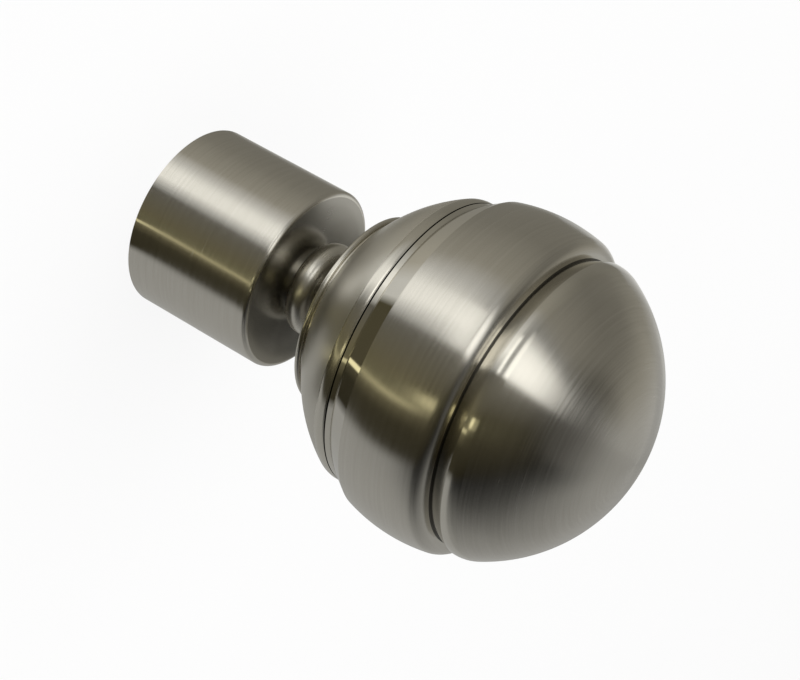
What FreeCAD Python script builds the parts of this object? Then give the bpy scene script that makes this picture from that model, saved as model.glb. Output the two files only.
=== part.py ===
import FreeCAD, Part
import math
import os

# Ball finial for the end of a metal curtain pole, made as one piece of revolution about Z.
# A thin-walled cup slips over the pole, a beaded neck carries the ball, and two fine
# stepped grooves part the ball into a rear cap, a middle band and a front dome.
# Frame: origin at the centre of the cup's mouth, +Z along the axis towards the ball. Millimetres.

# Cup that slips over the pole
POLE_DIAMETER = 28.0
POLE_CLEARANCE = 0.15       # radial play between the pole and the socket wall
CUP_WALL = 1.35
CUP_LENGTH = 24.55
SOCKET_DEPTH = 20.0
SOCKET_LEAD_IN = 0.2        # small chamfer that lets the pole start into the socket
MOUTH_ROUND = 0.7           # outer edge of the mouth
CUP_END_ROUND = 0.8         # outer edge of the closed end

# Neck with one round bead
NECK_LENGTH = 10.45         # closed end of the cup to the back of the collar
NECK_RADIUS = 5.8
NECK_FILLET = 1.2           # where the neck meets the back of the collar
BEAD_SETBACK = 3.05         # closed end of the cup to the middle of the bead
BEAD_RADIUS = 7.9           # crest of the bead
BEAD_ROUND = 2.35           # radius of the bead's own section

# Collar: a fine ring bead at the back of the ball
COLLAR_RADIUS = 16.3
COLLAR_ROUND = 0.5
COLLAR_GAP = 0.33           # fine groove between the collar and the ball
CAP_BACK_ROUND = 0.5        # rounded back edge of the ball beside that groove

# Ball
BALL_DIAMETER = 55.2
CAP_SETBACK = 0.35          # the rear cap's centre lies this far behind the ball's centre
CAP_LIP_START = 13.7        # behind the ball's centre, where the rear cap begins to roll in
CAP_LIP_ROUND = 2.35
CAP_LIP_DROP = 0.13         # from the lip's crest down to the slit
SLIT_WIDTH = 0.24           # fine slit between the rear cap and the middle band
SLIT_DEPTH = 0.65
LEDGE_WIDTH = 0.83          # narrow level ledge at the foot of the middle band's rear shoulder
BAND_START = 7.1            # behind the ball's centre, the rear edge of the middle band
BAND_LIP_START = 5.85       # ahead of the ball's centre, where the middle band begins to roll in
BAND_LIP_ROUND = 2.45
BAND_LIP_TURN = 78.0        # degrees from the radius at which that round ends in a flat foot
DOME_CREVICE = 7.85         # ahead of the ball's centre, where that foot meets the dome's rim
DOME_CREVICE_DEPTH = 0.98   # from the end of the rim's bevel down to the crevice
DOME_RIM = 10.4             # ahead of the ball's centre, where the rim's bevel meets its round
DOME_RIM_ROUND = 4.85
DOME_START = 12.8           # ahead of the ball's centre, where that round runs into the dome


class Outline:
    """Half section of a turned piece: a chain of straight lines and arcs given as (radius, height)."""

    def __init__(self, radius, height):
        self.first = self.last = FreeCAD.Vector(radius, 0, height)
        self.edges = []

    def line(self, radius, height):
        end = FreeCAD.Vector(radius, 0, height)
        self.edges.append(Part.LineSegment(self.last, end).toShape())
        self.last = end

    def arc(self, centre, bend, radius, height):
        """Arc about a centre of the given bend radius, the short way to its end."""
        end = FreeCAD.Vector(radius, 0, height)
        middle = FreeCAD.Vector(centre[0], 0, centre[1])
        outward = (self.last - middle) + (end - middle)
        outward.normalize()
        self.edges.append(Part.Arc(self.last, middle + outward * bend, end).toShape())
        self.last = end

    def turned(self):
        """Solid of revolution about Z of the closed outline."""
        self.line(self.first.x, self.first.z)
        face = Part.Face(Part.Wire(self.edges))
        return face.revolve(FreeCAD.Vector(0, 0, 0), FreeCAD.Vector(0, 0, 1), 360)


def ball_radius_at(height, centre):
    """Radius of the ball's surface at a height, for a zone with the given centre."""
    return math.sqrt((BALL_DIAMETER / 2) ** 2 - (height - centre) ** 2)


def centre_inside_ball(height, centre, bend):
    """Centre (radius, height) of a round that leaves the ball tangentially at a height."""
    share = 1 - bend / (BALL_DIAMETER / 2)
    return ball_radius_at(height, centre) * share, centre + (height - centre) * share


def add_socket_and_cup(outline):
    """Socket floor and wall, mouth rim, and the cup's outside up to its closed end."""
    bore = POLE_DIAMETER / 2 + POLE_CLEARANCE
    outside = bore + CUP_WALL
    outline.line(bore, SOCKET_DEPTH)
    outline.line(bore, SOCKET_LEAD_IN)
    outline.line(bore + SOCKET_LEAD_IN, 0)
    outline.line(outside - MOUTH_ROUND, 0)
    outline.arc((outside - MOUTH_ROUND, MOUTH_ROUND), MOUTH_ROUND, outside, MOUTH_ROUND)
    end_round_start = CUP_LENGTH - CUP_END_ROUND
    outline.line(outside, end_round_start)
    outline.arc((outside - CUP_END_ROUND, end_round_start), CUP_END_ROUND, outside - CUP_END_ROUND, CUP_LENGTH)


def add_neck(outline):
    """Flat closed end of the cup, the neck with its round bead, and the back of the collar."""
    bead_middle = CUP_LENGTH + BEAD_SETBACK
    bead_centre = BEAD_RADIUS - BEAD_ROUND
    bead_reach = math.sqrt(BEAD_ROUND ** 2 - (NECK_RADIUS - bead_centre) ** 2)
    outline.line(NECK_RADIUS, CUP_LENGTH)
    outline.line(NECK_RADIUS, bead_middle - bead_reach)
    outline.arc((bead_centre, bead_middle), BEAD_ROUND, BEAD_RADIUS, bead_middle)
    outline.arc((bead_centre, bead_middle), BEAD_ROUND, NECK_RADIUS, bead_middle + bead_reach)
    collar_back = CUP_LENGTH + NECK_LENGTH
    outline.line(NECK_RADIUS, collar_back - NECK_FILLET)
    outline.arc((NECK_RADIUS + NECK_FILLET, collar_back - NECK_FILLET), NECK_FILLET,
                NECK_RADIUS + NECK_FILLET, collar_back)


def add_collar_and_rear_cap(outline):
    """Collar bead, its fine groove, and the rear cap up to the slit. Gives the ball's centre height."""
    ball = BALL_DIAMETER / 2
    collar_back = CUP_LENGTH + NECK_LENGTH
    collar_middle = collar_back + COLLAR_ROUND
    collar_seat = COLLAR_RADIUS - COLLAR_ROUND
    outline.line(collar_seat, collar_back)
    outline.arc((collar_seat, collar_middle), COLLAR_ROUND, COLLAR_RADIUS, collar_middle)
    outline.arc((collar_seat, collar_middle), COLLAR_ROUND, collar_seat, collar_middle + COLLAR_ROUND)

    # The ball sits where its rounded back edge ends flush with the collar's seat
    cap_back = collar_middle + COLLAR_ROUND + COLLAR_GAP
    edge_centre = cap_back + CAP_BACK_ROUND
    cap_centre = edge_centre + math.sqrt((ball - CAP_BACK_ROUND) ** 2 - collar_seat ** 2)
    ball_centre = cap_centre + CAP_SETBACK
    stretch = ball / (ball - CAP_BACK_ROUND)
    cap_start = cap_centre + (edge_centre - cap_centre) * stretch
    outline.line(collar_seat, cap_back)
    outline.arc((collar_seat, edge_centre), CAP_BACK_ROUND, collar_seat * stretch, cap_start)

    lip_start = ball_centre - CAP_LIP_START
    outline.arc((0, cap_centre), ball, ball_radius_at(lip_start, cap_centre), lip_start)
    lip = centre_inside_ball(lip_start, cap_centre, CAP_LIP_ROUND)
    lip_end_radius = lip[0] + CAP_LIP_ROUND - CAP_LIP_DROP
    lip_end = lip[1] + math.sqrt(CAP_LIP_ROUND ** 2 - (lip_end_radius - lip[0]) ** 2)
    outline.arc(lip, CAP_LIP_ROUND, lip_end_radius, lip_end)
    return ball_centre


def add_middle_band(outline, ball_centre):
    """Slit, ledge and conical rear shoulder of the middle band, and the band up to the end of its lip."""
    ledge_radius = outline.last.x
    ledge_start = outline.last.z + SLIT_WIDTH
    outline.line(ledge_radius - SLIT_DEPTH, outline.last.z)
    outline.line(ledge_radius - SLIT_DEPTH, ledge_start)
    outline.line(ledge_radius, ledge_start)
    outline.line(ledge_radius, ledge_start + LEDGE_WIDTH)
    band_start = ball_centre - BAND_START
    outline.line(ball_radius_at(band_start, ball_centre), band_start)

    lip_start = ball_centre + BAND_LIP_START
    lip_radius = ball_radius_at(lip_start, ball_centre)
    outline.arc((0, ball_centre), BALL_DIAMETER / 2, lip_radius, lip_start)
    lip = centre_inside_ball(lip_start, ball_centre, BAND_LIP_ROUND)
    turn = math.radians(BAND_LIP_TURN)
    outline.arc(lip, BAND_LIP_ROUND, lip[0] + BAND_LIP_ROUND * math.cos(turn),
                lip[1] + BAND_LIP_ROUND * math.sin(turn))


def add_dome(outline, ball_centre):
    """Foot of the front crevice, the dome's rim with its bevel and round, and the dome up to the axis."""
    rim = ball_centre + DOME_RIM
    dome_start = ball_centre + DOME_START
    edge = centre_inside_ball(dome_start, ball_centre, DOME_RIM_ROUND)
    rim_radius = edge[0] + math.sqrt(DOME_RIM_ROUND ** 2 - (edge[1] - rim) ** 2)
    outline.line(rim_radius - DOME_CREVICE_DEPTH, ball_centre + DOME_CREVICE)
    outline.line(rim_radius, rim)
    outline.arc(edge, DOME_RIM_ROUND, ball_radius_at(dome_start, ball_centre), dome_start)
    outline.arc((0, ball_centre), BALL_DIAMETER / 2, 0, ball_centre + BALL_DIAMETER / 2)


def make_finial():
    """The whole finial as one turned solid."""
    outline = Outline(0, SOCKET_DEPTH)
    add_socket_and_cup(outline)
    add_neck(outline)
    ball_centre = add_collar_and_rear_cap(outline)
    add_middle_band(outline, ball_centre)
    add_dome(outline, ball_centre)
    return outline.turned()


os.makedirs("parts", exist_ok=True)
finial = make_finial()
finial.exportStep("parts/finial.step")
print("valid", finial.isValid(), "solids", len(finial.Solids), "volume", round(finial.Volume, 1),
      "length", round(finial.BoundBox.ZMax - finial.BoundBox.ZMin, 2))
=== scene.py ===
import math

import bpy
from mathutils import Matrix, Vector


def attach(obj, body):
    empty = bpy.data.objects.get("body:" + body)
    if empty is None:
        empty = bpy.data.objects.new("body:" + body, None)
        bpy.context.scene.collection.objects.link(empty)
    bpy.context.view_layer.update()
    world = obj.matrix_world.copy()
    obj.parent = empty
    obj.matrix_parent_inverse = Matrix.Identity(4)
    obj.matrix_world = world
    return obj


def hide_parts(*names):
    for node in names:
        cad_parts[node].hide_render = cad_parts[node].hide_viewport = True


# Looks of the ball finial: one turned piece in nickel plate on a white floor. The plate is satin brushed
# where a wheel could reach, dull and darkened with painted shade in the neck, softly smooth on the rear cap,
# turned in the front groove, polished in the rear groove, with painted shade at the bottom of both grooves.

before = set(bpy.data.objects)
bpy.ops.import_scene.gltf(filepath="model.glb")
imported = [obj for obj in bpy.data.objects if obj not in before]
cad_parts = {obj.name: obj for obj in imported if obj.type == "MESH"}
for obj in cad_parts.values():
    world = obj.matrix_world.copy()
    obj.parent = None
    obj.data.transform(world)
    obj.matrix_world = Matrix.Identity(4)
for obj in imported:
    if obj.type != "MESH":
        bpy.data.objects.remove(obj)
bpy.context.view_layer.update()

MM = 0.001
SEGMENTS = 288                      # steps round the axis
ARC_STEP = math.radians(3)          # longest step along a small round of the section
EDGE_STEP = math.radians(9)         # the same along the smallest rounds
BALL_STEP = math.radians(1.2)       # the same along the ball
CREASE = math.radians(16)           # a sharper turn of the section is shaded as an edge
ON_AXIS = 1e-6

# Sizes of the finial in millimetres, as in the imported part
BORE = 14.15
SOCKET_DEPTH = 20.0
LEAD_IN = 0.2
CUP_RADIUS = 15.5
CUP_LENGTH = 24.55
MOUTH_ROUND = 0.7
CUP_END_ROUND = 0.8
NECK_RADIUS = 5.8
NECK_FILLET = 1.2
BEAD_HEIGHT = CUP_LENGTH + 3.05
BEAD_RADIUS = 7.9
BEAD_ROUND = 2.35
COLLAR_BACK = CUP_LENGTH + 10.45
COLLAR_SEAT = 15.8
COLLAR_ROUND = 0.5
CAP_BACK = COLLAR_BACK + 2 * COLLAR_ROUND + 0.33
CAP_BACK_ROUND = 0.5
BALL = 27.6
CAP_CENTRE = CAP_BACK + CAP_BACK_ROUND + math.sqrt((BALL - CAP_BACK_ROUND) ** 2 - COLLAR_SEAT ** 2)
BALL_CENTRE = CAP_CENTRE + 0.35
CAP_LIP_START = BALL_CENTRE - 13.7
CAP_LIP_ROUND = 2.35
CAP_LIP_DROP = 0.13
SLIT_WIDTH = 0.24
SLIT_DEPTH = 0.65
LEDGE_WIDTH = 0.83
BAND_START = BALL_CENTRE - 7.1
BAND_LIP_START = BALL_CENTRE + 5.85
BAND_LIP_ROUND = 2.45
BAND_LIP_TURN = math.radians(78)
DOME_CREVICE = BALL_CENTRE + 7.85
DOME_CREVICE_DEPTH = 0.98
CREVICE_SHADE_WIDTH = 0.35                 # width of the strip beside the crevice that takes the crevice finish, darkened as painted shade
DOME_RIM = BALL_CENTRE + 10.4
DOME_RIM_ROUND = 4.85
DOME_START = BALL_CENTRE + 12.8


class Section:
    """Half section of a turned piece: points (radius, height), each with the finish that leads to it."""

    def __init__(self, radius, height):
        self.points = [(radius, height)]
        self.finishes = [None]

    def line(self, finish, radius, height, steps=1):
        start_radius, start_height = self.points[-1]
        for step in range(1, steps + 1):
            share = step / steps
            self.points.append((start_radius + (radius - start_radius) * share,
                                start_height + (height - start_height) * share))
            self.finishes.append(finish)

    def arc(self, finish, centre, radius, height, longest=ARC_STEP):
        """Arc about a centre, the short way to its end."""
        start = self.points[-1]
        bend = math.dist(start, centre)
        first = math.atan2(start[1] - centre[1], start[0] - centre[0])
        last = math.atan2(height - centre[1], radius - centre[0])
        turn = (last - first + math.pi) % (2 * math.pi) - math.pi
        steps = max(3, math.ceil(abs(turn) / longest))
        for step in range(1, steps + 1):
            angle = first + turn * step / steps
            self.points.append((centre[0] + bend * math.cos(angle), centre[1] + bend * math.sin(angle)))
            self.finishes.append(finish)


def ball_radius_at(height, centre):
    """Radius of the ball's surface at a height, for a zone with the given centre."""
    return math.sqrt(BALL ** 2 - (height - centre) ** 2)


def centre_inside_ball(height, centre, bend):
    """Centre (radius, height) of a round that leaves the ball tangentially at a height."""
    share = 1 - bend / BALL
    return ball_radius_at(height, centre) * share, centre + (height - centre) * share


def add_cup(section):
    """Socket, mouth rim and the outside of the cup."""
    section.line("socket", BORE, SOCKET_DEPTH, steps=6)
    section.line("socket", BORE, LEAD_IN, steps=8)
    section.line("socket", BORE + LEAD_IN, 0)
    mouth = (CUP_RADIUS - MOUTH_ROUND, MOUTH_ROUND)
    section.line("satin", mouth[0], 0)
    section.arc("satin", mouth, CUP_RADIUS, mouth[1], EDGE_STEP)
    end = (CUP_RADIUS - CUP_END_ROUND, CUP_LENGTH - CUP_END_ROUND)
    section.line("satin", CUP_RADIUS, end[1], steps=16)
    section.arc("satin", end, end[0], CUP_LENGTH, EDGE_STEP)


def add_neck_and_collar(section):
    """Closed end of the cup, the beaded neck and the fine collar ring."""
    bead = (BEAD_RADIUS - BEAD_ROUND, BEAD_HEIGHT)
    reach = math.sqrt(BEAD_ROUND ** 2 - (NECK_RADIUS - bead[0]) ** 2)
    # The dull finish here is darkened as painted shade in the recess between the cup and the ball.
    section.line("dull", NECK_RADIUS, CUP_LENGTH, steps=5)
    section.line("dull", NECK_RADIUS, BEAD_HEIGHT - reach)
    section.arc("smooth", bead, BEAD_RADIUS, BEAD_HEIGHT)
    section.arc("smooth", bead, NECK_RADIUS, BEAD_HEIGHT + reach)
    fillet = (NECK_RADIUS + NECK_FILLET, COLLAR_BACK - NECK_FILLET)
    section.line("dull", NECK_RADIUS, fillet[1], steps=3)
    section.arc("dull", fillet, fillet[0], COLLAR_BACK, EDGE_STEP)
    section.line("dull", COLLAR_SEAT, COLLAR_BACK, steps=4)
    collar = (COLLAR_SEAT, COLLAR_BACK + COLLAR_ROUND)
    section.arc("buffed", collar, COLLAR_SEAT + COLLAR_ROUND, collar[1], EDGE_STEP)
    section.arc("buffed", collar, COLLAR_SEAT, collar[1] + COLLAR_ROUND, EDGE_STEP)


def add_rear_cap(section):
    """Rear cap of the ball, from the fine groove at the collar to the slit."""
    stretch = BALL / (BALL - CAP_BACK_ROUND)
    edge = (COLLAR_SEAT, CAP_BACK + CAP_BACK_ROUND)
    section.line("buffed", COLLAR_SEAT, CAP_BACK)
    section.arc("buffed", edge, COLLAR_SEAT * stretch, CAP_CENTRE + (edge[1] - CAP_CENTRE) * stretch)
    lip_start_radius = ball_radius_at(CAP_LIP_START, CAP_CENTRE)
    section.arc("soft", (0, CAP_CENTRE), lip_start_radius, CAP_LIP_START, BALL_STEP)
    lip = centre_inside_ball(CAP_LIP_START, CAP_CENTRE, CAP_LIP_ROUND)
    radius = lip[0] + CAP_LIP_ROUND - CAP_LIP_DROP
    height = lip[1] + math.sqrt(CAP_LIP_ROUND ** 2 - (radius - lip[0]) ** 2)
    section.arc("buffed", lip, radius, height)


def add_band(section):
    """Slit, ledge and conical shoulder behind the middle band, and the band up to the end of its lip."""
    ledge_radius, slit = section.points[-1]
    ledge = slit + SLIT_WIDTH
    # The slit takes the crevice finish, darkened as painted shade.
    section.line("crevice", ledge_radius - SLIT_DEPTH, slit, steps=2)
    section.line("crevice", ledge_radius - SLIT_DEPTH, ledge)
    section.line("crevice", ledge_radius, ledge, steps=2)
    section.line("polished", ledge_radius, ledge + LEDGE_WIDTH, steps=2)
    section.line("polished", ball_radius_at(BAND_START, BALL_CENTRE), BAND_START, steps=5)
    lip_start_radius = ball_radius_at(BAND_LIP_START, BALL_CENTRE)
    section.arc("satin", (0, BALL_CENTRE), lip_start_radius, BAND_LIP_START, BALL_STEP)
    lip = centre_inside_ball(BAND_LIP_START, BALL_CENTRE, BAND_LIP_ROUND)
    section.arc("satin", lip, lip[0] + BAND_LIP_ROUND * math.cos(BAND_LIP_TURN),
                lip[1] + BAND_LIP_ROUND * math.sin(BAND_LIP_TURN))


def add_dome(section):
    """Foot of the front crevice, the dome's rim with its bevel and round, and the dome up to the axis."""
    edge = centre_inside_ball(DOME_START, BALL_CENTRE, DOME_RIM_ROUND)
    rim_radius = edge[0] + math.sqrt(DOME_RIM_ROUND ** 2 - (edge[1] - DOME_RIM) ** 2)
    crevice_radius = rim_radius - DOME_CREVICE_DEPTH
    foot_radius, foot_height = section.points[-1]
    # The last strip of the foot before the crevice takes the crevice finish, darkened as painted shade.
    dark_share = CREVICE_SHADE_WIDTH / (foot_radius - crevice_radius)
    dark_height = DOME_CREVICE + (foot_height - DOME_CREVICE) * dark_share
    section.line("turned", crevice_radius + CREVICE_SHADE_WIDTH, dark_height, steps=2)
    section.line("crevice", crevice_radius, DOME_CREVICE, steps=2)
    section.line("turned", rim_radius, DOME_RIM, steps=4)
    section.arc("turned", edge, ball_radius_at(DOME_START, BALL_CENTRE), DOME_START)
    section.arc("satin", (0, BALL_CENTRE), 0, BALL_CENTRE + BALL, BALL_STEP)


def finial_section():
    """The whole section, from the socket's floor to the tip of the dome."""
    section = Section(0, SOCKET_DEPTH)
    add_cup(section)
    add_neck_and_collar(section)
    add_rear_cap(section)
    add_band(section)
    add_dome(section)
    return section


def turned_mesh(name, section, finishes):
    """Mesh of revolution about Z, one material slot per finish, with a map of turn by length of section."""
    lengths = [0.0]
    for before, after in zip(section.points, section.points[1:]):
        lengths.append(lengths[-1] + math.dist(before, after))
    vertices, rings, row_of = [], [], []
    for row, (radius, height) in enumerate(section.points):
        first = len(vertices)
        count = 1 if radius < ON_AXIS else SEGMENTS
        for step in range(count):
            angle = 2 * math.pi * step / SEGMENTS
            vertices.append((radius * math.sin(angle) * MM, radius * math.cos(angle) * MM, height * MM))
        rings.append([first + step % count for step in range(SEGMENTS)])
        row_of.extend([row] * count)
    faces, slots, chart = [], [], []
    for row in range(1, len(rings)):
        below, above = rings[row - 1], rings[row]
        bottom, top = lengths[row - 1] / lengths[-1], lengths[row] / lengths[-1]
        for step in range(SEGMENTS):
            after = (step + 1) % SEGMENTS
            left, right = step / SEGMENTS, (step + 1) / SEGMENTS
            corners = {below[step]: (left, bottom), above[step]: (left, top),
                       above[after]: (right, top), below[after]: (right, bottom)}
            faces.append(list(corners))
            slots.append(finishes.index(section.finishes[row]))
            chart.extend(corners.values())
    mesh = bpy.data.meshes.new(name)
    mesh.from_pydata(vertices, [], faces)
    mesh.polygons.foreach_set("material_index", slots)
    mesh.polygons.foreach_set("use_smooth", [True] * len(faces))
    layer = mesh.uv_layers.new(name="turn_by_length")
    layer.data.foreach_set("uv", [number for place in chart for number in place])
    mark_creases(mesh, section, row_of)
    mesh.update()
    mesh.validate()
    return mesh, lengths[-1]


def mark_creases(mesh, section, row_of):
    """Shades the section's corners as sharp edges."""
    corners = set()
    for row in range(1, len(section.points) - 1):
        before = Vector(section.points[row]) - Vector(section.points[row - 1])
        after = Vector(section.points[row + 1]) - Vector(section.points[row])
        if before.angle(after) > CREASE:
            corners.add(row)
    for edge in mesh.edges:
        first, second = (row_of[vertex] for vertex in edge.vertices)
        edge.use_edge_sharp = first == second and first in corners


class Nodes:
    """Small helper that adds and links nodes of one node tree."""

    def __init__(self, tree):
        self.tree = tree
        tree.nodes.clear()

    def add(self, kind, **settings):
        node = self.tree.nodes.new(kind)
        for key, value in settings.items():
            setattr(node, key, value)
        return node

    def link(self, output, socket):
        self.tree.links.new(output, socket)

    def math(self, operation, first, second):
        """Math node on outputs or plain numbers."""
        node = self.add("ShaderNodeMath", operation=operation)
        for socket, value in zip(node.inputs, (first, second)):
            if isinstance(value, (int, float)):
                socket.default_value = value
            else:
                self.link(value, socket)
        return node.outputs[0]

    def blend(self, first, second, share):
        """First value with a share of the second in it."""
        rest = self.math("MULTIPLY", first, 1 - share)
        return self.math("ADD", rest, self.math("MULTIPLY", second, share))

    def noise(self, vector, scale=1.0, detail=2.0, roughness=0.5):
        node = self.add("ShaderNodeTexNoise")
        node.inputs["Scale"].default_value = scale
        node.inputs["Detail"].default_value = detail
        node.inputs["Roughness"].default_value = roughness
        self.link(vector, node.inputs["Vector"])
        return node.outputs["Fac"]

    def spread(self, value, low, high, start=0.3, end=0.7):
        """Maps a value to a range. The usual start and end are those of a noise."""
        node = self.add("ShaderNodeMapRange")
        node.inputs["From Min"].default_value = start
        node.inputs["From Max"].default_value = end
        node.inputs["To Min"].default_value = low
        node.inputs["To Max"].default_value = high
        self.link(value, node.inputs["Value"])
        return node.outputs["Result"]

    def mix_colour(self, share, first, second):
        node = self.add("ShaderNodeMix", data_type="RGBA")
        self.link(share, node.inputs["Factor"])
        node.inputs["A"].default_value = (*first, 1)
        node.inputs["B"].default_value = (*second, 1)
        return node.outputs["Result"]

    def bump(self, height, strength, distance):
        node = self.add("ShaderNodeBump")
        node.inputs["Strength"].default_value = strength
        node.inputs["Distance"].default_value = distance
        self.link(height, node.inputs["Height"])
        return node.outputs["Normal"]


# Darker and paler colour of each kind of metal
SATIN_COLOURS = (0.585, 0.56, 0.50), (0.665, 0.64, 0.58)
PLATE_COLOURS = (0.60, 0.575, 0.51), (0.65, 0.625, 0.56)
SOCKET_COLOURS = (0.36, 0.345, 0.315), (0.47, 0.455, 0.42)

SATIN_GRAIN = 0.85
SOCKET_GRAIN = 0.5
GRAIN_TURN = 0.25                   # a quarter turn lays the grain round the axis

# Finishes of the bright plate: clearest and dullest roughness, grain, and share of colour taken away as
# painted shade
BRIGHT_FINISHES = {
    "dull": (0.22, 0.28, 0.0, 0.36),        # the cup's closed end, the neck and the collar's back, darkened as painted shade between cup and ball
    "soft": (0.34, 0.42, 0.0, 0.0),         # rear cap
    "smooth": (0.24, 0.30, 0.0, 0.0),       # the neck's bead
    "buffed": (0.15, 0.21, 0.0, 0.0),       # collar, and both edges of the rear cap
    "turned": (0.11, 0.15, 0.85, 0.0),      # foot, bevel and round of the front groove
    "polished": (0.04, 0.08, 0.0, 0.0),     # ledge and shoulder of the rear groove
    "crevice": (0.28, 0.36, 0.0, 0.85),     # bottom of both grooves, darkened as painted shade
}


def new_material(name):
    material = bpy.data.materials.new(name)
    material.use_nodes = True
    return material, Nodes(material.node_tree)


def metal_shader(nodes, grain):
    """Principled metal with its grain round the axis, linked to the material's output."""
    shader = nodes.add("ShaderNodeBsdfPrincipled")
    shader.inputs["Metallic"].default_value = 1.0
    shader.inputs["Anisotropic"].default_value = grain
    shader.inputs["Anisotropic Rotation"].default_value = GRAIN_TURN
    tangent = nodes.add("ShaderNodeTangent", direction_type="RADIAL", axis="Z")
    nodes.link(tangent.outputs["Tangent"], shader.inputs["Tangent"])
    output = nodes.add("ShaderNodeOutputMaterial")
    nodes.link(shader.outputs["BSDF"], output.inputs["Surface"])
    return shader


def turned_coordinates(nodes, length):
    """Outputs for the place, the direction round the axis and the millimetres along the section."""
    place = nodes.add("ShaderNodeTexCoord")
    flat = nodes.add("ShaderNodeVectorMath", operation="MULTIPLY")
    nodes.link(place.outputs["Object"], flat.inputs[0])
    flat.inputs[1].default_value = (1, 1, 0)
    around = nodes.add("ShaderNodeVectorMath", operation="NORMALIZE")
    nodes.link(flat.outputs["Vector"], around.inputs[0])
    chart = nodes.add("ShaderNodeUVMap", uv_map="turn_by_length")
    split = nodes.add("ShaderNodeSeparateXYZ")
    nodes.link(chart.outputs["UV"], split.inputs[0])
    along = nodes.math("MULTIPLY", split.outputs["Y"], length)
    return place.outputs["Object"], around.outputs["Vector"], along


def streaks_round(nodes, around, along, round_scale, along_scale):
    """Coordinates that stretch a noise into lines round the axis."""
    wide = nodes.add("ShaderNodeVectorMath", operation="SCALE")
    nodes.link(around, wide.inputs[0])
    wide.inputs["Scale"].default_value = round_scale
    split = nodes.add("ShaderNodeSeparateXYZ")
    nodes.link(wide.outputs["Vector"], split.inputs[0])
    joined = nodes.add("ShaderNodeCombineXYZ")
    nodes.link(split.outputs["X"], joined.inputs["X"])
    nodes.link(split.outputs["Y"], joined.inputs["Y"])
    nodes.link(nodes.math("MULTIPLY", along, along_scale), joined.inputs["Z"])
    return joined.outputs["Vector"]


def satin_nickel(length):
    """Nickel brushed in fine lines round the axis, so that highlights stretch along the section."""
    material, nodes = new_material("satin_nickel")
    place, around, along = turned_coordinates(nodes, length)
    shader = metal_shader(nodes, SATIN_GRAIN)
    fine_lines = streaks_round(nodes, around, along, round_scale=2.2, along_scale=9.0)
    coarse_lines = streaks_round(nodes, around, along, round_scale=1.1, along_scale=2.2)
    fine = nodes.noise(fine_lines, detail=3.0, roughness=0.6)
    coarse = nodes.noise(coarse_lines)
    cloud = nodes.noise(place, scale=70.0)
    brushing = nodes.blend(fine, coarse, share=0.5)
    colour = nodes.mix_colour(nodes.spread(brushing, 0, 1), *SATIN_COLOURS)
    worn = nodes.math("ADD", nodes.spread(brushing, 0.19, 0.27), nodes.spread(cloud, -0.012, 0.012))
    nodes.link(colour, shader.inputs["Base Color"])
    nodes.link(worn, shader.inputs["Roughness"])
    nodes.link(nodes.bump(brushing, strength=0.13, distance=0.00002), shader.inputs["Normal"])
    return material


def bright_nickel(name, length, clearest, dullest, grain, painted_shade):
    """Bright nickel plate with a haze between two roughnesses, slight waves and hairlines round the axis."""
    material, nodes = new_material(name + "_nickel")
    place, around, along = turned_coordinates(nodes, length)
    shader = metal_shader(nodes, grain)
    hairlines = streaks_round(nodes, around, along, round_scale=3.0, along_scale=4.0)
    lines = nodes.noise(hairlines, detail=3.0, roughness=0.55)
    cloud = nodes.noise(place, scale=120.0, detail=3.0)
    waves = nodes.noise(place, scale=220.0, detail=1.0)
    # Both plate colours are darkened by the painted shade share, which shades recesses and groove bottoms.
    darker, paler = (Vector(colour) * (1 - painted_shade) for colour in PLATE_COLOURS)
    haze = nodes.blend(cloud, lines, share=0.15)
    relief = nodes.blend(waves, lines, share=0.1)
    nodes.link(nodes.mix_colour(nodes.spread(cloud, 0, 1), darker, paler), shader.inputs["Base Color"])
    nodes.link(nodes.spread(haze, clearest, dullest), shader.inputs["Roughness"])
    nodes.link(nodes.bump(relief, strength=0.05, distance=0.0001), shader.inputs["Normal"])
    return material


def socket_metal(length):
    """Bare turned metal inside the socket, duller and darker than the plate outside."""
    material, nodes = new_material("socket_metal")
    place, around, along = turned_coordinates(nodes, length)
    shader = metal_shader(nodes, SOCKET_GRAIN)
    tool_marks = nodes.noise(streaks_round(nodes, around, along, round_scale=0.6, along_scale=3.0))
    cloud = nodes.noise(place, scale=160.0, detail=3.0)
    colour = nodes.mix_colour(nodes.spread(cloud, 0, 1), *SOCKET_COLOURS)
    nodes.link(colour, shader.inputs["Base Color"])
    nodes.link(nodes.spread(tool_marks, 0.34, 0.5), shader.inputs["Roughness"])
    nodes.link(nodes.bump(tool_marks, strength=0.25, distance=0.00005), shader.inputs["Normal"])
    return material


def add_object(name, data):
    thing = bpy.data.objects.new(name, data)
    bpy.context.scene.collection.objects.link(thing)
    return thing


def make_finial():
    """The finial's mesh with all its finishes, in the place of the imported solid."""
    finishes = ["satin", *BRIGHT_FINISHES, "socket"]
    mesh, length = turned_mesh("finial_plated", finial_section(), finishes)
    mesh.materials.append(satin_nickel(length))
    for name, finish in BRIGHT_FINISHES.items():
        mesh.materials.append(bright_nickel(name, length, *finish))
    mesh.materials.append(socket_metal(length))
    piece = add_object("finial_plated", mesh)
    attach(piece, "root")
    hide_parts("finial")


# White floor: a disc that curves up into a low backdrop far away
FLOOR_SPOKES = 96
FLOOR_INNER = 0.3                       # radius of the innermost ring
FLOOR_REACH = 3.0
FLOOR_BEND = 0.4                        # radius of the curve
FLOOR_BEND_STEPS = 9
BACKDROP_HEIGHT = 0.9
PAPER_COLOUR = (0.92, 0.92, 0.92)
WHITE = (1.0, 1.0, 1.0)
PAPER_GLOW = 0.90                       # share of plain white, the rest is shading


def emission(nodes, colour):
    """Emission of a plain colour or of an output."""
    light = nodes.add("ShaderNodeEmission")
    if isinstance(colour, tuple):
        light.inputs["Color"].default_value = (*colour, 1)
    else:
        nodes.link(colour, light.inputs["Color"])
    return light.outputs["Emission"]


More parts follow.
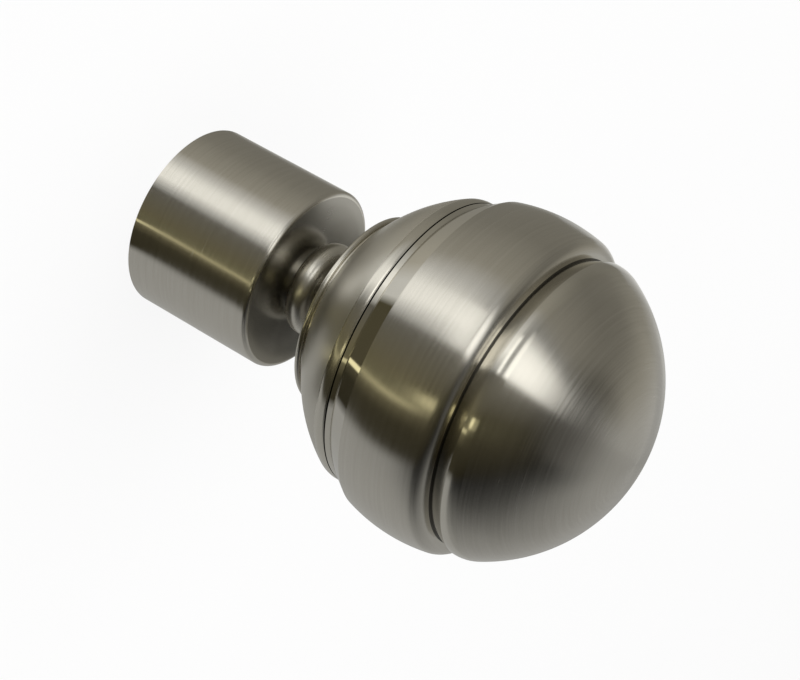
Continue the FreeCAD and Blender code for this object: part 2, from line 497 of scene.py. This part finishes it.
def floor_material():
    """White paper: plain white to the eye and in reflections, with some real shading for the shadow."""
    material, nodes = new_material("white_paper")
    rays = nodes.add("ShaderNodeLightPath")
    seen = nodes.math("MAXIMUM", rays.outputs["Is Camera Ray"], rays.outputs["Is Glossy Ray"])
    seen = nodes.math("MAXIMUM", seen, rays.outputs["Is Transmission Ray"])
    paper = nodes.add("ShaderNodeBsdfDiffuse")
    paper.inputs["Color"].default_value = (*PAPER_COLOUR, 1)
    mix = nodes.add("ShaderNodeMixShader")
    nodes.link(nodes.math("MULTIPLY", seen, PAPER_GLOW), mix.inputs[0])
    nodes.link(paper.outputs["BSDF"], mix.inputs[1])
    nodes.link(emission(nodes, WHITE), mix.inputs[2])
    output = nodes.add("ShaderNodeOutputMaterial")
    nodes.link(mix.outputs["Shader"], output.inputs["Surface"])
    return material


def make_floor():
    """Rings of the flat disc, its curve and the backdrop, joined by faces."""
    flat_reach = FLOOR_REACH - FLOOR_BEND
    rows = [(FLOOR_INNER, 0.0), (flat_reach, 0.0)]
    for step in range(1, FLOOR_BEND_STEPS + 1):
        angle = math.radians(90) * step / FLOOR_BEND_STEPS
        rows.append((flat_reach + FLOOR_BEND * math.sin(angle), FLOOR_BEND * (1 - math.cos(angle))))
    rows.append((FLOOR_REACH, BACKDROP_HEIGHT))
    vertices = [(0, 0, 0)]
    for radius, height in rows:
        for spoke in range(FLOOR_SPOKES):
            angle = 2 * math.pi * spoke / FLOOR_SPOKES
            vertices.append((radius * math.sin(angle), radius * math.cos(angle), height))
    faces = [(0, 1 + (spoke + 1) % FLOOR_SPOKES, 1 + spoke) for spoke in range(FLOOR_SPOKES)]
    for row in range(len(rows) - 1):
        inner, outer = 1 + row * FLOOR_SPOKES, 1 + (row + 1) * FLOOR_SPOKES
        for spoke in range(FLOOR_SPOKES):
            after = (spoke + 1) % FLOOR_SPOKES
            faces.append((inner + spoke, inner + after, outer + after, outer + spoke))
    mesh = bpy.data.meshes.new("floor")
    mesh.from_pydata(vertices, [], faces)
    mesh.polygons.foreach_set("use_smooth", [True] * len(faces))
    mesh.materials.append(floor_material())
    add_object("floor", mesh)


# Camera, fitted to the photograph's outline
CAMERA_RISE = math.radians(24.262)      # above the plane of the part's circles
CAMERA_ROLL = math.radians(119.4)
CAMERA_DEPTH = 0.32918                  # to the ball's centre
CAMERA_ASIDE = 0.01275                  # the ball's centre lies this far right of the picture's middle
CAMERA_BELOW = 0.00613                  # and this far below it
CAMERA_LENS = 97.04
CAMERA_NEAREST = 0.01

# Tints of the sheets of light below
PLAIN = (1.0, 1.0, 0.975)
WARM = (1.0, 0.96, 0.84)
OLIVE = (1.0, 0.89, 0.54)
GOLD = (1.0, 0.92, 0.56)

# Light tent round the part, which only the metal shows. A stop is the turn round the part at which the
# camera sees the tent mirrored in the cup, a tint, and the brightness there of four levels of the
# tent: its floor near the part, its floor farther out, and its wall low and high.
TENT_STOPS = [
    (88.0, PLAIN, 0.95, 0.43, 0.40, 0.40),
    (100.0, PLAIN, 0.43, 0.43, 0.40, 0.39),
    (118.0, PLAIN, 0.43, 0.42, 0.33, 0.24),
    (126.0, PLAIN, 0.43, 0.42, 0.27, 0.14),
    (133.0, PLAIN, 0.43, 0.41, 0.20, 0.06),
    (143.0, PLAIN, 0.43, 0.38, 0.04, 0.02),
    (147.0, OLIVE, 0.045, 0.045, 0.03, 0.025),
    (156.0, OLIVE, 0.05, 0.05, 0.05, 0.05),
    (161.2, OLIVE, 0.16, 0.17, 0.10, 0.065),
    (161.8, GOLD, 0.80, 0.80, 0.15, 0.07),
    (162.7, GOLD, 0.80, 0.80, 0.20, 0.07),
    (163.3, OLIVE, 0.16, 0.17, 0.20, 0.07),
    (165.0, GOLD, 0.16, 0.17, 1.50, 0.08),
    (167.2, GOLD, 0.16, 0.17, 1.50, 0.08),
    (168.0, OLIVE, 0.16, 0.17, 0.12, 0.085),
    (183.4, WARM, 0.15, 0.15, 0.18, 0.22),
    (185.0, PLAIN, 0.35, 0.50, 1.90, 1.70),
    (192.0, PLAIN, 1.20, 1.30, 1.90, 1.70),
    (197.4, PLAIN, 1.20, 1.15, 1.60, 1.50),
    (199.5, PLAIN, 1.10, 0.85, 0.55, 1.10),
    (204.0, PLAIN, 0.75, 0.62, 0.46, 0.32),
    (211.0, WARM, 0.39, 0.37, 0.36, 0.29),
    (230.0, WARM, 0.26, 0.24, 0.22, 0.19),
    (242.0, WARM, 0.23, 0.23, 0.23, 0.20),
    (254.0, WARM, 0.21, 0.22, 0.26, 0.38),
    (264.0, PLAIN, 0.70, 0.64, 0.60, 0.50),
    (272.0, PLAIN, 0.95, 0.50, 0.43, 0.42),
]
TENT_FOOT = 0.0152                      # inner edge of the tent's floor, under the cup's rounded mouth
TENT_LIFT = 0.0002                      # of the tent's floor above the white floor
TENT_REACH = 0.45                       # from there to the wall
TENT_FLOOR_ROWS = [(0.0, "near"), (0.06, "near"), (0.09, "far"), (0.2, "far")]      # distance and level
TENT_WALL_ROWS = [                      # height and level
    (0.0, "far"), (0.012, "low"), (0.075, "low"), (0.085, "gap"), (0.195, "gap"),
    (0.21, "high"), (0.62, "high"), (0.95, "top"), (1.3, "top"),
]
GAP_LEVEL = 0.40                        # brightest that the strip between low and high gets
TOP_SHARE = 0.4                         # brightness of the wall's top before the part, as a share of high
TOP_SIDE_SHARE = 0.35                   # more of it towards the sides
TOP_SIDE_POWER = 6                      # the higher, the closer to the sides that stays

# Small card under the shoulder behind the middle band, with stops as the tent's but one brightness
SHOULDER_STOPS = [
    (100.0, PLAIN, 0.40),
    (145.0, PLAIN, 0.42),
    (149.0, OLIVE, 0.035),
    (158.0, OLIVE, 0.04),
    (161.6, OLIVE, 0.10),
    (162.2, GOLD, 1.30),
    (163.4, GOLD, 1.30),
    (164.0, OLIVE, 0.09),
    (186.0, OLIVE, 0.09),
    (189.5, PLAIN, 0.75),
    (196.0, PLAIN, 0.75),
    (204.0, WARM, 0.50),
    (222.0, WARM, 0.34),
    (250.0, WARM, 0.22),
]
SHOULDER_TILT = math.radians(-33)
SHOULDER_ENDS = [(0.0236, 0.0475), (0.0275, 0.0533)]        # radius and height a little past both its edges
SHOULDER_CARD_HEIGHT = 0.030

# Dim screen behind the part and dim mat on the floor there, which darken the cup's closed end. Their
# edges fade to the brightness of what lies round them. A stop is a place across in millimetres, a tint
# and a brightness. A row is a height or a depth, and the share of the edge's colour there.
SCREEN_STOPS = [
    (-60.0, PLAIN, 0.42),
    (-30.0, PLAIN, 0.85),
    (-16.0, PLAIN, 0.85),
    (-12.0, WARM, 0.25),
    (-7.0, WARM, 0.04),
    (13.0, WARM, 0.03),
    (17.0, WARM, 0.30),
    (30.0, PLAIN, 0.42),
]
SCREEN_DISTANCE = 0.05
SCREEN_ROWS = [(0.035, 1), (0.045, 0), (0.061, 0), (0.070, 1)]
MAT_STOPS = [
    (-20.0, PLAIN, 0.43),
    (-10.0, WARM, 0.05),
    (11.0, WARM, 0.05),
    (20.0, PLAIN, 0.43),
]
MAT_HEIGHT = 0.001
MAT_ROWS = [(0.018, 1), (0.035, 0), (0.075, 0), (0.11, 1)]
EDGE_COLOUR = Vector(PLAIN) * 0.42

COLUMN_STEP = 2                         # between a sheet's columns, in degrees or millimetres as its stops


def mirrored(turn, tilt):
    """Direction in which the camera's sight leaves a mirror that faces a turn and tilts up by an angle."""
    facing = Vector((math.cos(tilt) * math.sin(turn), math.cos(tilt) * math.cos(turn), math.sin(tilt)))
    towards = Vector((0, -math.cos(CAMERA_RISE), math.sin(CAMERA_RISE)))
    return 2 * facing.dot(towards) * facing - towards


def stop_colours(stops, place):
    """Colours of all levels of a list of stops at a place between them."""
    for before, after in zip(stops, stops[1:]):
        if before[0] <= place <= after[0]:
            share = (place - before[0]) / (after[0] - before[0])
            ends = [[Vector(stop[1]) * level for level in stop[2:]] for stop in (before, after)]
            return [first.lerp(last, share) for first, last in zip(*ends)]
    raise ValueError("place outside the stops")


def stop_places(stops):
    """The places of a list of stops with even steps between them."""
    places = set(stop[0] for stop in stops)
    places.update(range(math.ceil(stops[0][0]), int(stops[-1][0]), COLUMN_STEP))
    return sorted(places)


def glow_material():
    """Cloth that glows in the colours of its mesh."""
    material, nodes = new_material("glowing_cloth")
    shade = nodes.add("ShaderNodeVertexColor", layer_name="shade")
    output = nodes.add("ShaderNodeOutputMaterial")
    nodes.link(emission(nodes, shade.outputs["Color"]), output.inputs["Surface"])
    return material


def make_sheet(name, columns, material):
    """Glowing sheet that only the metal shows, from columns of places with their colours."""
    rows = len(columns[0])
    spots = [spot for column in columns for spot in column]
    faces = []
    for column in range(len(columns) - 1):
        for row in range(rows - 1):
            here = column * rows + row
            faces.append((here, here + 1, here + rows + 1, here + rows))
    mesh = bpy.data.meshes.new(name)
    mesh.from_pydata([place for place, colour in spots], [], faces)
    layer = mesh.color_attributes.new("shade", "FLOAT_COLOR", "POINT")
    layer.data.foreach_set("color", [number for place, colour in spots for number in (*colour, 1.0)])
    mesh.materials.append(material)
    sheet = add_object(name, mesh)
    sheet.visible_camera = False
    sheet.visible_diffuse = False
    sheet.visible_shadow = False


def make_tent(material):
    """Sheet that runs out over the floor from the cup and rises as a wall before the part."""
    columns = []
    for turn in stop_places(TENT_STOPS):
        angle = math.radians(turn)
        ray = mirrored(angle, 0)
        ray.z = 0
        ray.normalize()
        foot = Vector((math.sin(angle), math.cos(angle), 0)) * TENT_FOOT + Vector((0, 0, TENT_LIFT))
        edge = foot + ray * TENT_REACH
        near, far, low, high = stop_colours(TENT_STOPS, turn)
        gap = (low + high) / 2
        gap *= min(1, GAP_LEVEL / max(gap))
        top = high * (TOP_SHARE + TOP_SIDE_SHARE * math.sin(angle) ** TOP_SIDE_POWER)
        levels = {"near": near, "far": far, "low": low, "gap": gap, "high": high, "top": top}
        column = [(foot + ray * distance, levels[level]) for distance, level in TENT_FLOOR_ROWS]
        column += [(edge + Vector((0, 0, height)), levels[level]) for height, level in TENT_WALL_ROWS]
        columns.append(column)
    make_sheet("tent", columns, material)


def make_shoulder_card(material):
    """Level card that the camera sees mirrored in the shoulder."""
    columns = []
    for turn in stop_places(SHOULDER_STOPS):
        angle = math.radians(turn)
        ray = mirrored(angle, SHOULDER_TILT)
        colour = stop_colours(SHOULDER_STOPS, turn)[0]
        column = []
        for radius, height in SHOULDER_ENDS:
            start = Vector((math.sin(angle) * radius, math.cos(angle) * radius, height))
            column.append((start + ray * ((SHOULDER_CARD_HEIGHT - height) / ray.z), colour))
        columns.append(column)
    make_sheet("shoulder_card", columns, material)


def make_faded_sheet(name, stops, rows, material):
    """Sheet with stops across it, and rows of a place at its middle with the share of the edge's colour."""
    columns = []
    for across in stop_places(stops):
        shift = Vector((across * MM, 0, 0))
        colour = stop_colours(stops, across)[0]
        columns.append([(middle + shift, colour.lerp(EDGE_COLOUR, share)) for middle, share in rows])
    make_sheet(name, columns, material)


def make_screen_and_mat(material):
    screen_rows = [(Vector((0, SCREEN_DISTANCE, height)), share) for height, share in SCREEN_ROWS]
    make_faded_sheet("screen", SCREEN_STOPS, screen_rows, material)
    mat_rows = [(Vector((0, depth, MAT_HEIGHT)), share) for depth, share in MAT_ROWS]
    make_faded_sheet("mat", MAT_STOPS, mat_rows, material)


# Soft lamp above, for the floor
LAMP_PLACE = (-0.3, -0.3, 1.5)
LAMP_SIZE = 1.6
LAMP_POWER = 26.0

# Dim room, paler towards an axis behind the part. A stop is the cosine from that axis and a brightness.
SKY_AXIS = (0.0, 0.94, 0.34)
SKY_STOPS = [(-0.35, 0.06), (0.30, 0.095), (0.50, 0.13), (0.66, 0.28), (0.88, 0.42), (1.0, 0.43)]
SKY_TINT = (1.0, 0.98, 0.94)


def make_lamp():
    lamp = bpy.data.lights.new("overhead", "AREA")
    lamp.shape = "SQUARE"
    lamp.size = LAMP_SIZE
    lamp.energy = LAMP_POWER
    overhead = add_object("overhead", lamp)
    overhead.location = LAMP_PLACE
    overhead.rotation_euler = overhead.location.to_track_quat("Z", "Y").to_euler()
    overhead.visible_glossy = False


def make_sky():
    world = bpy.data.worlds.new("studio")
    bpy.context.scene.world = world
    world.use_nodes = True
    nodes = Nodes(world.node_tree)
    place = nodes.add("ShaderNodeTexCoord")
    towards = nodes.add("ShaderNodeVectorMath", operation="DOT_PRODUCT")
    nodes.link(place.outputs["Generated"], towards.inputs[0])
    towards.inputs[1].default_value = SKY_AXIS
    ramp = nodes.add("ShaderNodeValToRGB")
    elements = ramp.color_ramp.elements
    while len(elements) < len(SKY_STOPS):
        elements.new(0.5)               # any place, as the next lines set it
    for element, (cosine, brightness) in zip(elements, SKY_STOPS):
        element.position = (cosine + 1) / 2
        element.color = (*(brightness * tint for tint in SKY_TINT), 1)
    nodes.link(nodes.spread(towards.outputs["Value"], 0, 1, start=-1, end=1), ramp.inputs["Fac"])
    sky = nodes.add("ShaderNodeBackground")
    nodes.link(ramp.outputs["Color"], sky.inputs["Color"])
    output = nodes.add("ShaderNodeOutputWorld")
    nodes.link(sky.outputs["Background"], output.inputs["Surface"])


def make_camera():
    """Camera at the photograph's viewing angle, rolled so that the part lies as it does there."""
    right = Vector((1, 0, 0))
    up = Vector((0, math.sin(CAMERA_RISE), math.cos(CAMERA_RISE)))
    back = Vector((0, -math.cos(CAMERA_RISE), math.sin(CAMERA_RISE)))
    rolled_right = math.cos(CAMERA_ROLL) * right + math.sin(CAMERA_ROLL) * up
    rolled_up = -math.sin(CAMERA_ROLL) * right + math.cos(CAMERA_ROLL) * up
    data = bpy.data.cameras.new("camera")
    data.lens = CAMERA_LENS
    data.clip_start = CAMERA_NEAREST
    camera = add_object("camera", data)
    place = Vector((0, 0, BALL_CENTRE * MM))
    place += back * CAMERA_DEPTH - rolled_right * CAMERA_ASIDE + rolled_up * CAMERA_BELOW
    turn = Matrix((rolled_right, rolled_up, back)).transposed().to_4x4()
    camera.matrix_world = Matrix.Translation(place) @ turn
    bpy.context.scene.camera = camera


make_finial()
make_floor()
cloth = glow_material()
make_tent(cloth)
make_shoulder_card(cloth)
make_screen_and_mat(cloth)
make_lamp()
make_sky()
make_camera()
bpy.context.scene.view_settings.view_transform = "Standard"
